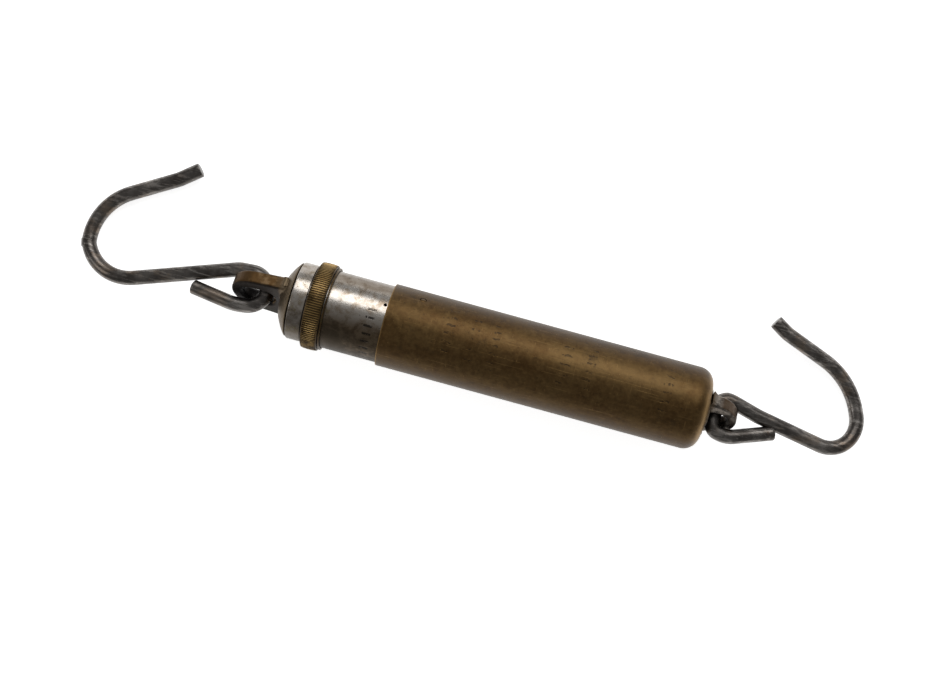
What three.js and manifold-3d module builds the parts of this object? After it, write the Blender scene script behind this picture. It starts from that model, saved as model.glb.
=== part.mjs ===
// Tubular hanging spring scale, lying on its side.
// Units are millimetres. Every piece is made about the scale's own axis: +X runs along the tubes from the
// top eye to the load hook, and X = 0 is the mouth of the brass tube when nothing hangs on it.
// The last lines move the whole scale so that the origin is the middle of the base of its bounding box.
import * as THREE from 'three';
import { ConvexGeometry } from 'three/addons/geometries/ConvexGeometry.js';
import { mergeVertices } from 'three/addons/utils/BufferGeometryUtils.js';
import Module from 'manifold-3d';

const wasm = await Module();
wasm.setup();

// ---- driving dimensions ----
const ROUND = 48;                 // facets round a tube
const FIT = 0.3;                  // gap between pieces that are fastened together

const CASE_R = 12.7;              // brass outer tube
const CASE_WALL = 0.5;
const CASE_LENGTH = 99.8;
const CASE_CORNER = [4.7, 4.5];   // depth and height of the rounded closed end
const CASE_MOUTH_R = 8.0;         // opening in the closed end

const STEM_R = 11.9;              // nickel-plated inner tube with the scale on it
const STEM_WALL = 0.6;
const STEM_TOP = -23.3;
const STEM_END = 88;
const VENT = { x: -0.75, r: 0.55, angle: 27.5 };

const TRAVEL = 54;                // how far the brass tube slides at full load
const ZERO_TRAVEL = 0.75;         // how far one turn of the ring moves the spring

const CAP_R = 11.85;              // cap band at the top of the inner tube
const CAP_TOP = -28.2;
const CAP_BAND_END = -23.6;
const CAP_SPIGOT_END = -14.6;
const CAP_SPIGOT_R = [9.9, 11.0];

const RING_R = 13.45;             // knurled zero ring
const RING_FROM = -23.25;
const RING_TO = -18.15;
const RING_EDGE_R = 12.75;
const RING_BORE_R = 12.2;
const RING_GROOVE_R = 12.85;
const RING_LIP = 0.6;
const COLLAR = { from: -17.85, to: -17.35, r: 12.75 };

const KEY = { x: -20.7, width: 2.0, height: 3.0, reach: 12.5 };

const SPRING_R = 8.2;             // mean radius of the coils
const SPRING_WIRE = 2.7;
const SPRING_PITCH = 3.0;
const SPRING_COILS = 34;
const SPRING_FROM = -11.4;
const PLUG_R = 6.2;               // core that the coils are screwed on
const PLUG_FLANGE_R = 9.5;

const PIN = { x: 9.5, r: 0.9, angle: 51, inner: 10.3, outer: 12.75 };

const LUG_THICK = 4.5;            // both eyes
const LUG_HALF = 7.4;
const LUG_EDGE = 0.5;
const EYE_HOLE_HALF = 3.3;
const EYE_RIM = 0.8;
const FLARE_STEPS = 5;
// Stations along the axis, the half width of the lug at its root, and the flare that joins it to its foot.
const TOP_EYE = {
  tip: -47.9, wire: -37.66, far: -44.2, foot: -31.8, turn: 28,
  root: 0.8, rootHalf: 8.6, flare: 2.6, flareHalf: 9.6,
};
const BOTTOM_EYE = {
  tip: 109.6, wire: 102.7, far: 106.5, foot: 100.5, turn: 33,
  root: 0.4, rootHalf: 7.6, flare: 3.2, flareHalf: 9.6,
};
const SHANK_R = 3.0;

const HOOK_WIRE_R = 2.25;
const HOOK_SIDES = 12;
// Straight lengths and bends of each hook in its own plane: the corners that the straight lengths would meet
// at, and the radius that each corner is bent to. [0, 0] is where the wire goes through its eye.
const TOP_HOOK = {
  corners: [[32.3, 31.5], [38.0, 26.8], [63.3, 11.6], [55.2, -11.5], [10.0, 4.6],
    [-2.4, 5.4], [0.9, -5.2], [8.4, -6.2], [22.5, -4.4]],
  radii: [9.0, 17.0, 14.4, 8.0, 5.6, 6.4, 15.0],
  droop: 9.0,
  lean: 9.25,
};
const LOAD_HOOK = {
  corners: [[13.6, 33.3], [18.0, 30.6], [41.3, 21.9], [50.0, -3.5], [13.8, 2.8],
    [4.0, 5.4], [0.5, 5.0], [-0.5, -4.9], [5.2, -6.0], [19.4, -1.0]],
  radii: [10.0, 21.9, 9.2, 20.0, 8.0, 4.0, 2.9, 7.9],
  droop: 9.87,
  lean: 12.6,
};

const PALETTE = {
  agedBrass: { color: 0x6b5327, roughness: 0.42, metalness: 1 },
  nickel: { color: 0xb5b3aa, roughness: 0.3, metalness: 1 },
  bronze: { color: 0x5a4526, roughness: 0.45, metalness: 1 },
  darkSteel: { color: 0x5d5a56, roughness: 0.4, metalness: 1 },
  springSteel: { color: 0x4a4a4d, roughness: 0.35, metalness: 1 },
  plainSteel: { color: 0x77767a, roughness: 0.4, metalness: 1 },
};

// ---- helpers ----
const radians = THREE.MathUtils.degToRad;
const scale = new THREE.Group();

function toSolid(geometry) {
  const bare = geometry.index ? geometry.toNonIndexed() : geometry.clone();
  bare.deleteAttribute('normal');
  bare.deleteAttribute('uv');
  const merged = mergeVertices(bare, 1e-4);
  const index = Array.from(merged.index.array);
  const kept = [];
  for (let i = 0; i < index.length; i += 3) {
    const [a, b, c] = index.slice(i, i + 3);
    if (a !== b && b !== c && a !== c) kept.push(a, b, c);
  }
  return new wasm.Manifold(new wasm.Mesh({
    numProp: 3,
    vertProperties: new Float32Array(merged.attributes.position.array),
    triVerts: new Uint32Array(kept),
  }));
}

function toGeometry(solid) {
  const mesh = solid.getMesh();
  const geometry = new THREE.BufferGeometry();
  geometry.setAttribute('position', new THREE.BufferAttribute(mesh.vertProperties, 3));
  geometry.setIndex(new THREE.BufferAttribute(mesh.triVerts, 1));
  return geometry;
}

// A turned piece about X. The outline is [x, radius] points, outside first towards +X, then back along the
// bore. It closes on itself, or starts and ends on the axis.
function turned(outline, closed, facets = ROUND) {
  const points = outline.map(([x, r]) => new THREE.Vector2(r, x));
  if (closed) points.push(points[0].clone());
  return new THREE.LatheGeometry(points, facets).rotateZ(-Math.PI / 2);
}

function sleeve(from, to, inner, outer, facets = ROUND) {
  return turned([[from, outer], [to, outer], [to, inner], [from, inner]], true, facets);
}

// A straight bar between two X stations, with its section in the YZ plane.
function prism(section, from, to) {
  const options = { depth: to - from, bevelEnabled: false, curveSegments: 6 };
  return new THREE.ExtrudeGeometry(section, options).rotateY(Math.PI / 2).translate(from, 0, 0);
}

function hexNut(from, to, acrossFlats, bore) {
  const corner = acrossFlats / Math.sqrt(3);
  const section = new THREE.Shape();
  for (let i = 0; i < 6; i += 1) {
    const a = (i * Math.PI) / 3;
    if (i === 0) section.moveTo(corner, 0);
    else section.lineTo(corner * Math.cos(a), corner * Math.sin(a));
  }
  section.closePath();
  section.holes.push(new THREE.Path().absarc(0, 0, bore, 0, 2 * Math.PI, true));
  return prism(section, from, to);
}

// A round bar along the radius at the given angle from +Z towards +Y.
function radialPin(x, angle, r, inner, outer, facets = 16) {
  const bar = new THREE.CylinderGeometry(r, r, outer - inner, facets);
  return bar.rotateX(Math.PI / 2).translate(0, 0, (inner + outer) / 2).rotateX(-radians(angle))
    .translate(x, 0, 0);
}

function block(size, centre) {
  return new THREE.BoxGeometry(...size).translate(...centre);
}

function add(name, material, geometry) {
  const mesh = new THREE.Mesh(geometry, new THREE.MeshStandardMaterial(PALETTE[material]));
  mesh.name = name;
  scale.add(mesh);
  return mesh;
}

// ---- brass case: outer tube and its guide pin ----
function roundedEnd(wall, steps) {
  const [deep, high] = [CASE_CORNER[0] - wall, CASE_CORNER[1] - wall];
  const [x0, r0] = [CASE_LENGTH - CASE_CORNER[0], CASE_R - CASE_CORNER[1]];
  const arc = [];
  for (let i = 0; i <= steps; i += 1) {
    const a = (i / steps) * (Math.PI / 2);
    arc.push([x0 + deep * Math.sin(a), r0 + high * Math.cos(a)]);
  }
  return arc;
}

const caseOutline = [
  [0, CASE_R],
  ...roundedEnd(0, 6),
  [CASE_LENGTH, CASE_MOUTH_R],
  [CASE_LENGTH - CASE_WALL, CASE_MOUTH_R],
  ...roundedEnd(CASE_WALL, 5).reverse(),
  [0, CASE_R - CASE_WALL],
];
const pinHole = toSolid(radialPin(PIN.x, PIN.angle, PIN.r + FIT, PIN.inner, CASE_R + 2));
add('outer_tube', 'agedBrass', toGeometry(toSolid(turned(caseOutline, true)).subtract(pinHole)));
add('guide_pin', 'agedBrass', radialPin(PIN.x, PIN.angle, PIN.r, PIN.inner, PIN.outer));

// ---- inner tube: guide slot, key slots and vent hole ----
const slotFrom = PIN.x - PIN.r - ZERO_TRAVEL - FIT;
const slotTo = PIN.x + TRAVEL + PIN.r + ZERO_TRAVEL + FIT;
const guideSlot = block(
  [slotTo - slotFrom, 2 * PIN.r + 2 * FIT, 4],
  [(slotFrom + slotTo) / 2, 0, STEM_R],
).rotateX(-radians(PIN.angle));
const keySlots = block(
  [KEY.width + 2 * ZERO_TRAVEL + FIT, 2 * STEM_R + 4, KEY.height + 2 * FIT],
  [KEY.x, 0, 0],
);
const CAP_PINS = [150, 210].map((angle) => ({ x: -16.4, r: 0.8, angle }));
const capPinHoles = CAP_PINS.map(({ x, r, angle }) => toSolid(radialPin(x, angle, r + FIT, 9, 13)));
const ventHole = toSolid(radialPin(VENT.x, VENT.angle, VENT.r, 10, 13, 10));

let stem = toSolid(sleeve(STEM_TOP, STEM_END, STEM_R - STEM_WALL, STEM_R));
for (const cut of [toSolid(guideSlot), toSolid(keySlots), ventHole, ...capPinHoles]) {
  stem = stem.subtract(cut);
}
add('inner_tube', 'nickel', toGeometry(stem));

// ---- top cap with its pins ----
const capOutline = [
  [CAP_TOP, CAP_R],
  [CAP_BAND_END, CAP_R],
  [CAP_BAND_END, CAP_SPIGOT_R[1]],
  [CAP_SPIGOT_END, CAP_SPIGOT_R[1]],
  [CAP_SPIGOT_END, CAP_SPIGOT_R[0]],
  [CAP_TOP + 1.5, CAP_SPIGOT_R[0]],
  [CAP_TOP + 1.5, SHANK_R + FIT],
  [CAP_TOP, SHANK_R + FIT],
];
let cap = toSolid(turned(capOutline, true)).subtract(toSolid(keySlots));
for (const hole of capPinHoles) cap = cap.subtract(hole);
add('top_cap', 'nickel', toGeometry(cap));
CAP_PINS.forEach(({ x, r, angle }, i) => {
  add(`cap_pin_${i + 1}`, 'nickel', radialPin(x, angle, r, CAP_SPIGOT_R[0], STEM_R, 12));
});

// ---- zero ring and the collar that keeps it in place ----
const ringOutline = [];
for (let i = 0; i <= 6; i += 1) {
  const a = Math.PI * (1 - i / 6);
  ringOutline.push([
    (RING_FROM + RING_TO) / 2 + ((RING_TO - RING_FROM) / 2) * Math.cos(a),
    RING_EDGE_R + (RING_R - RING_EDGE_R) * Math.sin(a),
  ]);
}
ringOutline.push(
  [RING_TO, RING_BORE_R],
  [RING_TO - RING_LIP, RING_BORE_R],
  [RING_TO - RING_LIP, RING_GROOVE_R],
  [RING_FROM + RING_LIP, RING_GROOVE_R],
  [RING_FROM + RING_LIP, RING_BORE_R],
  [RING_FROM, RING_BORE_R],
);
add('zero_ring', 'agedBrass', turned(ringOutline, true));
add('ring_stop_collar', 'agedBrass', sleeve(COLLAR.from, COLLAR.to, RING_BORE_R, COLLAR.r));

// ---- spring anchor: the key that the ring drives, and the plug that holds the spring ----
const headFrom = KEY.x - 1.2 - KEY.width / 2;
const headTo = KEY.x + 1.4 + KEY.width / 2;
const plugCoreFrom = SPRING_FROM - SPRING_WIRE / 2 - FIT;
const upperOutline = [
  [headFrom, 0],
  [headFrom, 6.0],
  [headTo, 6.0],
  [headTo, 4.5],
  [plugCoreFrom - 1.6, 4.5],
  [plugCoreFrom - 1.6, PLUG_FLANGE_R],
  [plugCoreFrom, PLUG_FLANGE_R],
  [plugCoreFrom, PLUG_R],
  [plugCoreFrom + 10, PLUG_R],
  [plugCoreFrom + 10, 0],
];
const keyHole = block([KEY.width + 2 * FIT, 30, KEY.height + 2 * FIT], [KEY.x, 0, 0]);
const screwHole = new THREE.CylinderGeometry(1.5, 1.5, 4, 12).rotateZ(Math.PI / 2)
  .translate(KEY.x + KEY.width / 2 + FIT + 1.4, 0, 0);
const upperPlug = toSolid(turned(upperOutline, false, 32)).subtract(toSolid(keyHole))
  .subtract(toSolid(screwHole));
add('upper_spring_plug', 'plainSteel', toGeometry(upperPlug));
add('drive_key', 'plainSteel', block([KEY.width, 2 * KEY.reach, KEY.height], [KEY.x, 0, 0]));
const screwFrom = KEY.x + KEY.width / 2 + FIT;
add('key_screw', 'plainSteel', new THREE.CylinderGeometry(1.2, 1.2, 2.6, 12).rotateZ(Math.PI / 2)
  .translate(screwFrom + 1.3, 0, 0));

// ---- main spring: a close-wound helix along X ----
class Helix extends THREE.Curve {
  getPoint(t, target = new THREE.Vector3()) {
    const a = 2 * Math.PI * SPRING_COILS * t;
    const x = SPRING_FROM + SPRING_PITCH * SPRING_COILS * t;
    return target.set(x, SPRING_R * Math.cos(a), SPRING_R * Math.sin(a));
  }
}

function disc(radius, sides) {
  const shape = new THREE.Shape();
  for (let i = 0; i < sides; i += 1) {
    const a = ((i + 0.5) * 2 * Math.PI) / sides;
    if (i === 0) shape.moveTo(radius * Math.cos(a), radius * Math.sin(a));
    else shape.lineTo(radius * Math.cos(a), radius * Math.sin(a));
  }
  shape.closePath();
  return shape;
}

add('main_spring', 'springSteel', new THREE.ExtrudeGeometry(disc(SPRING_WIRE / 2, 6), {
  steps: SPRING_COILS * 10,
  extrudePath: new Helix(),
}));

// ---- eyes: a flat lug with an oval hole, a foot and a shank ----
// The lug lies in the local XY plane. side is -1 when its tip points to -X and +1 when it points to +X.
function lugPlate(eye, side) {
  const centre = eye.tip - side * LUG_HALF;
  const root = eye.foot - side * eye.root;
  const rim = [];
  for (const [inset, z] of [[0, LUG_THICK / 2 - LUG_EDGE], [LUG_EDGE, LUG_THICK / 2]]) {
    const r = LUG_HALF - inset;
    const outline = [[root, inset - eye.rootHalf], [root, eye.rootHalf - inset]];
    for (let i = 0; i <= 18; i += 1) {
      const a = Math.PI * (i / 18 - 0.5);
      outline.push([centre + side * r * Math.cos(a), r * Math.sin(a)]);
    }
    for (const [x, y] of outline) {
      rim.push(new THREE.Vector3(x, y, z), new THREE.Vector3(x, y, -z));
    }
  }
  const sweep = [];
  for (let i = 0; i <= FLARE_STEPS; i += 1) {
    const share = i / FLARE_STEPS;
    const x = eye.foot + side * eye.flare * share;
    const straight = THREE.MathUtils.mapLinear(x, centre, root, LUG_HALF, eye.rootHalf);
    sweep.push([x, straight + (eye.flareHalf - eye.rootHalf) * (1 - share) ** 2]);
  }
  const web = new THREE.Shape();
  web.moveTo(root, -eye.flareHalf);
  web.lineTo(root, eye.flareHalf);
  sweep.forEach(([x, y]) => web.lineTo(x, y));
  sweep.reverse().forEach(([x, y]) => web.lineTo(x, -y));
  web.closePath();
  const thin = LUG_THICK - 2 * LUG_EDGE;
  const flared = new THREE.ExtrudeGeometry(web, { depth: thin, bevelEnabled: false });
  return toSolid(new ConvexGeometry(rim)).add(toSolid(flared.translate(0, 0, -thin / 2)));
}

// The hole's rims are eased, so that the slanting wire can swing round in it.
function ovalHole(from, to) {
  const ends = [Math.min(from, to) + EYE_HOLE_HALF, Math.max(from, to) - EYE_HOLE_HALF];
  const oval = (r, z) => {
    const points = [];
    for (let i = 0; i < 28; i += 1) {
      const a = ((i + 0.5) * 2 * Math.PI) / 28;
      const middle = Math.cos(a) < 0 ? ends[0] : ends[1];
      points.push(new THREE.Vector3(middle + r * Math.cos(a), r * Math.sin(a), z));
    }
    return points;
  };
  const face = LUG_THICK / 2;
  let cut = toSolid(new ConvexGeometry([...oval(EYE_HOLE_HALF, -15), ...oval(EYE_HOLE_HALF, 15)]));
  for (const side of [-1, 1]) {
    const inner = oval(EYE_HOLE_HALF, side * (face - EYE_RIM));
    const outer = oval(EYE_HOLE_HALF + EYE_RIM + 1, side * (face + 1));
    cut = cut.add(toSolid(new ConvexGeometry([...inner, ...outer])));
  }
  return cut;
}

const shoulderOutline = [
  [TOP_EYE.foot - 0.5, 0],
  [TOP_EYE.foot - 0.4, 5.6],
  [TOP_EYE.foot, 6.8],
  [TOP_EYE.foot + 0.8, 8.3],
  [TOP_EYE.foot + 1.6, 9.7],
  [TOP_EYE.foot + 2.5, 10.9],
  [CAP_TOP - FIT, 11.8],
  [CAP_TOP - FIT, SHANK_R],
  [headFrom - 1.4, SHANK_R],
  [headFrom - 1.4, 0],
];
const topEye = toSolid(turned(shoulderOutline, false))
  .add(lugPlate(TOP_EYE, -1))
  .subtract(ovalHole(TOP_EYE.far, TOP_EYE.wire + EYE_HOLE_HALF));
add('top_eye', 'bronze', toGeometry(topEye)).rotation.x = radians(90 - TOP_EYE.turn);
add('top_eye_washer', 'plainSteel', sleeve(CAP_TOP + 1.8, CAP_TOP + 2.4, SHANK_R + FIT, 6.5, 24));
add('top_eye_nut', 'plainSteel', hexNut(CAP_TOP + 2.7, CAP_TOP + 4.3, 9.5, SHANK_R + FIT));

const flangeTo = CASE_LENGTH - CASE_WALL - FIT;
const flangeFrom = flangeTo - 2.0;
const shankFrom = 74.5;
const footOutline = [
  [shankFrom, 0],
  [shankFrom, SHANK_R],
  [flangeFrom, SHANK_R],
  [flangeFrom, 9.6],
  [flangeTo - 0.9, 9.6],
  [flangeTo, 8.4],
  [flangeTo, CASE_MOUTH_R - FIT],
  [CASE_LENGTH, CASE_MOUTH_R - FIT],
  [BOTTOM_EYE.foot, CASE_MOUTH_R - 1],
  [BOTTOM_EYE.foot, 0],
];
const bottomEye = toSolid(turned(footOutline, false))
  .add(lugPlate(BOTTOM_EYE, 1))
  .subtract(ovalHole(BOTTOM_EYE.wire - EYE_HOLE_HALF, BOTTOM_EYE.far));
add('bottom_eye', 'darkSteel', toGeometry(bottomEye)).rotation.x = radians(90 - BOTTOM_EYE.turn);

// ---- stack on the bottom eye's shank: end washer, lower spring plug, plug washer, nut ----
const bore = SHANK_R + FIT;
const endWasherTo = flangeFrom - FIT;
const endWasherFrom = endWasherTo - 1.4;
const lowerFlangeTo = endWasherFrom - FIT;
const lowerFlangeFrom = lowerFlangeTo - 2.0;
const lowerCoreFrom = 80.5;
add('end_washer', 'plainSteel', sleeve(endWasherFrom, endWasherTo, bore, 10.5, 32));
add('lower_spring_plug', 'plainSteel', turned([
  [lowerCoreFrom, PLUG_R],
  [lowerFlangeFrom, PLUG_R],
  [lowerFlangeFrom, PLUG_FLANGE_R],
  [lowerFlangeTo, PLUG_FLANGE_R],
  [lowerFlangeTo, bore],
  [lowerCoreFrom, bore],
], true, 32));
add('plug_washer', 'plainSteel', sleeve(lowerCoreFrom - 1.1, lowerCoreFrom - FIT, bore, 6.0, 24));
add('bottom_eye_nut', 'plainSteel', hexNut(lowerCoreFrom - 4.6, lowerCoreFrom - 1.4, 9.5, bore));

// ---- hooks: round wire with straight lengths and round bends ----
function bentWire({ corners, radii }) {
  const points = corners.map(([u, v]) => new THREE.Vector3(u, v, 0));
  const path = new THREE.CurvePath();
  let from = points[0];
  for (let i = 1; i < points.length - 1; i += 1) {
    const corner = points[i];
    const back = points[i - 1].clone().sub(corner).normalize();
    const on = points[i + 1].clone().sub(corner).normalize();
    const turn = Math.PI - back.angleTo(on);
    const run = radii[i - 1] * Math.tan(turn / 2);
    const start = corner.clone().addScaledVector(back, run);
    const end = corner.clone().addScaledVector(on, run);
    const centre = back.clone().add(on).setLength(radii[i - 1] / Math.cos(turn / 2)).add(corner);
    const spoke = start.clone().sub(centre);
    const firstAngle = Math.atan2(spoke.y, spoke.x);
    const left = new THREE.Vector3().crossVectors(spoke, end.clone().sub(centre)).z > 0;
    path.add(new THREE.LineCurve3(from, start));
    path.add(new Bend(centre, radii[i - 1], firstAngle, left ? turn : -turn));
    from = end;
  }
  path.add(new THREE.LineCurve3(from, points[points.length - 1]));
  const section = disc(HOOK_WIRE_R / Math.cos(Math.PI / HOOK_SIDES), HOOK_SIDES);
  const steps = Math.round(path.getLength() / 2.4);
  return new THREE.ExtrudeGeometry(section, { steps, extrudePath: path });
}

class Bend extends THREE.Curve {
  constructor(centre, radius, from, turn) {
    super();
    Object.assign(this, { centre, radius, from, turn });
  }

  getPoint(t, target = new THREE.Vector3()) {
    const a = this.from + this.turn * t;
    return target.set(Math.cos(a), Math.sin(a), 0).multiplyScalar(this.radius).add(this.centre);
  }
}

// The hook's plane starts level, along side * X and +Y. It droops towards the hook's far end and leans down
// towards its tip, so that the hook rests on the table.
function placeHook(name, hook, side, x) {
  const along = new THREE.Vector3(side * Math.cos(radians(hook.droop)), 0, -Math.sin(radians(hook.droop)));
  const across = new THREE.Vector3(0, 1, 0).applyAxisAngle(along, -side * radians(hook.lean));
  const normal = new THREE.Vector3().crossVectors(along, across);
  const mesh = add(name, 'darkSteel', bentWire(hook));
  mesh.quaternion.setFromRotationMatrix(new THREE.Matrix4().makeBasis(along, across, normal));
  mesh.position.set(x, 0, 0);
}

placeHook('top_hook', TOP_HOOK, -1, TOP_EYE.wire);
placeHook('load_hook', LOAD_HOOK, 1, BOTTOM_EYE.wire);

// ---- origin: middle of the base ----
const extent = new THREE.Box3().setFromObject(scale, true);
const middle = extent.getCenter(new THREE.Vector3());
scale.position.set(-middle.x, -middle.y, -extent.min.z);

export default scale;
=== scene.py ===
import math

import bmesh
import bpy
from mathutils import Matrix, Vector


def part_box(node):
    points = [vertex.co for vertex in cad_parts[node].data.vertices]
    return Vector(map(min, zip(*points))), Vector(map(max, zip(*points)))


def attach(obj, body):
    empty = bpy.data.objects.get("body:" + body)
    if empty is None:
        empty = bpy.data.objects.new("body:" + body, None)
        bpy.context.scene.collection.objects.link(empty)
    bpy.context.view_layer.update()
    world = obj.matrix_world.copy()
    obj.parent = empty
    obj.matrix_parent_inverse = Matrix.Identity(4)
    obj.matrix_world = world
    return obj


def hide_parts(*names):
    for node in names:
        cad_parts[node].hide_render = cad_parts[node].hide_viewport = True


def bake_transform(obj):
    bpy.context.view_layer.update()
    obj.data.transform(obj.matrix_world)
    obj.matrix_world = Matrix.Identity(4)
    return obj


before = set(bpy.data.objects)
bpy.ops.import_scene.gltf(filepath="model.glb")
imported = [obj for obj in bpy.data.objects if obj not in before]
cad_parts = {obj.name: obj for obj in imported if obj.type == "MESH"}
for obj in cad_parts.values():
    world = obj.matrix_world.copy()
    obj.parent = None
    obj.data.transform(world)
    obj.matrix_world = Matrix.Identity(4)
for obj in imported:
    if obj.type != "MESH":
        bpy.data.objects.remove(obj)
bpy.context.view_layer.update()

mm = 0.001
tubeLow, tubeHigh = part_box("outer_tube")
mouth = Vector((tubeLow.x, (tubeLow.y + tubeHigh.y) / 2, (tubeLow.z + tubeHigh.z) / 2))


# small maths and node helpers

def unwrap(value):
    return value.socket if isinstance(value, Num) else value


class Num:
    # a number socket that can be used in ordinary arithmetic

    def __init__(self, maker, socket):
        self.maker = maker
        self.socket = socket

    def maths(self, operation, *values):
        node = self.maker.make("ShaderNodeMath", dict(operation=operation), dict(enumerate(values)))
        return Num(self.maker, node.outputs[0])

    def __add__(self, other):
        return self.maths("ADD", self, other)

    def __radd__(self, other):
        return self.maths("ADD", other, self)

    def __sub__(self, other):
        return self.maths("SUBTRACT", self, other)

    def __rsub__(self, other):
        return self.maths("SUBTRACT", other, self)

    def __mul__(self, other):
        return self.maths("MULTIPLY", self, other)

    def __rmul__(self, other):
        return self.maths("MULTIPLY", other, self)

    def __pow__(self, other):
        return self.maths("POWER", self, other)

    def absolute(self):
        return self.maths("ABSOLUTE", self)

    def clamped(self):
        node = self.maker.make("ShaderNodeClamp", {}, {"Value": self})
        return Num(self.maker, node.outputs[0])

    def most(self, other):
        return self.maths("MAXIMUM", self, other)


class Finish:
    # one material under construction; make() adds any node

    def __init__(self, name, **shader):
        self.material = bpy.data.materials.new(name)
        self.material.use_nodes = True
        self.tree = self.material.node_tree
        self.shader = self.tree.nodes["Principled BSDF"]
        for socket, value in shader.items():
            self.shader.inputs[socket.replace("_", " ")].default_value = value
        place = self.make("ShaderNodeTexCoord", {}, {}).outputs["Object"]
        self.place = self.make("ShaderNodeVectorMath", dict(operation="SUBTRACT"),
                               {0: place, 1: tuple(mouth)}).outputs[0]
        self.place = self.make("ShaderNodeVectorMath", dict(operation="SCALE"),
                               {0: self.place, "Scale": 1 / mm}).outputs[0]
        parts = self.make("ShaderNodeSeparateXYZ", {}, {0: self.place}).outputs
        self.x, self.y, self.z = (Num(self, socket) for socket in parts)

    def make(self, kind, settings, values):
        node = self.tree.nodes.new(kind)
        for key, value in settings.items():
            setattr(node, key, value)
        for key, value in values.items():
            value = unwrap(value)
            if isinstance(value, bpy.types.NodeSocket):
                self.tree.links.new(value, node.inputs[key])
            else:
                node.inputs[key].default_value = value
        return node

    def stretched(self, scale, offset=(0, 0, 0)):
        node = self.make("ShaderNodeMapping", {}, {"Vector": self.place, "Scale": scale, "Location": offset})
        return node.outputs[0]

    def noise(self, scale, detail=4.0, roughness=0.55, stretch=(1, 1, 1), offset=(0, 0, 0)):
        # scale is in cycles per millimetre
        node = self.make("ShaderNodeTexNoise", {}, {
            "Vector": self.stretched(stretch, offset), "Scale": scale, "Detail": detail,
            "Roughness": roughness})
        return Num(self, node.outputs["Fac"])

    def cells(self, scale, offset=(0, 0, 0)):
        where = self.stretched((1, 1, 1), offset)
        node = self.make("ShaderNodeTexVoronoi", {}, {"Vector": where, "Scale": scale})
        return Num(self, node.outputs["Distance"])

    def band(self, value, low, high, smooth=True):
        # 0 below low and 1 above high; falling when low is above high
        rising = low < high
        settings = dict(interpolation_type="SMOOTHSTEP" if smooth else "LINEAR")
        node = self.make("ShaderNodeMapRange", settings, {
            "Value": value, "From Min": min(low, high), "From Max": max(low, high),
            "To Min": 0.0 if rising else 1.0, "To Max": 1.0 if rising else 0.0})
        return Num(self, node.outputs["Result"])

    def specks(self, spots, patches):
        # spots is scale, outer and inner radius, offset; they only show in patches of a wider noise
        size, outer, inner, place = spots
        scale, detail, low, high, shift = patches
        return self.band(self.cells(size, place), outer, inner) * self.band(
            self.noise(scale, detail, offset=shift), low, high)

    def mix(self, factor, first, second):
        node = self.make("ShaderNodeMix", dict(data_type="RGBA"),
                         {0: factor, 6: self.color(first), 7: self.color(second)})
        return node.outputs[2]

    def times(self, first, second, factor=1.0):
        node = self.make("ShaderNodeMix", dict(data_type="RGBA", blend_type="MULTIPLY"),
                         {0: factor, 6: self.color(first), 7: self.color(second)})
        return node.outputs[2]

    def color(self, value):
        if isinstance(value, tuple) and len(value) == 3:
            return (*value, 1)
        return value

    def grey(self, value):
        # a number as a grey colour
        node = self.make("ShaderNodeCombineColor", {}, {0: value, 1: value, 2: value})
        return node.outputs[0]

    def finish(self, color=None, roughness=None, metallic=None, bump=None, depth=0.02):
        if color is not None:
            self.tree.links.new(unwrap(color), self.shader.inputs["Base Color"])
        if roughness is not None:
            self.tree.links.new(unwrap(roughness), self.shader.inputs["Roughness"])
        if metallic is not None:
            self.tree.links.new(unwrap(metallic), self.shader.inputs["Metallic"])
        if bump is not None:
            node = self.make("ShaderNodeBump", {}, {"Strength": 1.0, "Distance": depth * mm, "Height": bump})
            self.tree.links.new(node.outputs[0], self.shader.inputs["Normal"])
        return self.material


# mesh helpers

def filletPath(points, radii, closed=False, turnStep=math.radians(9), longest=None):
    # straight lengths joined by round bends; radii holds one number for each corner that is bent
    corners = [Vector(p) for p in points]
    count = len(corners)
    path = [] if closed else [corners[0]]
    for i, radius in zip(range(count) if closed else range(1, count - 1), radii):
        corner = corners[i]
        back = (corners[i - 1] - corner).normalized()
        on = (corners[(i + 1) % count] - corner).normalized()
        turn = math.pi - back.angle(on)
        if radius <= 0 or turn < 1e-4:
            path.append(corner)
            continue
        run = radius * math.tan(turn / 2)
        start, end = corner + back * run, corner + on * run
        centre = corner + (back + on).normalized() * (radius / math.cos(turn / 2))
        spoke = start - centre
        way = 1 if spoke.x * (end - centre).y - spoke.y * (end - centre).x > 0 else -1
        steps = max(2, math.ceil(turn / turnStep))
        for k in range(steps + 1):
            a = math.atan2(spoke.y, spoke.x) + way * turn * k / steps
            path.append(centre + Vector((math.cos(a), math.sin(a))) * radius)
    if not closed:
        path.append(corners[-1])
    if longest is None:
        return path
    dense = [path[0]]
    for p in path[1:]:
        steps = max(1, math.ceil((p - dense[-1]).length / longest))
        start = dense[-1]
        for k in range(1, steps + 1):
            dense.append(start.lerp(p, k / steps))
    return dense


def piece(name, bm, material, sharp=32):
    mesh = bpy.data.meshes.new(name)
    bmesh.ops.recalc_face_normals(bm, faces=bm.faces)
    bm.to_mesh(mesh)
    bm.free()
    mesh.shade_smooth()
    mesh.set_sharp_from_angle(angle=math.radians(sharp))
    mesh.materials.append(material)
    obj = bpy.data.objects.new(name, mesh)
    bpy.context.scene.collection.objects.link(obj)
    return obj


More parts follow.
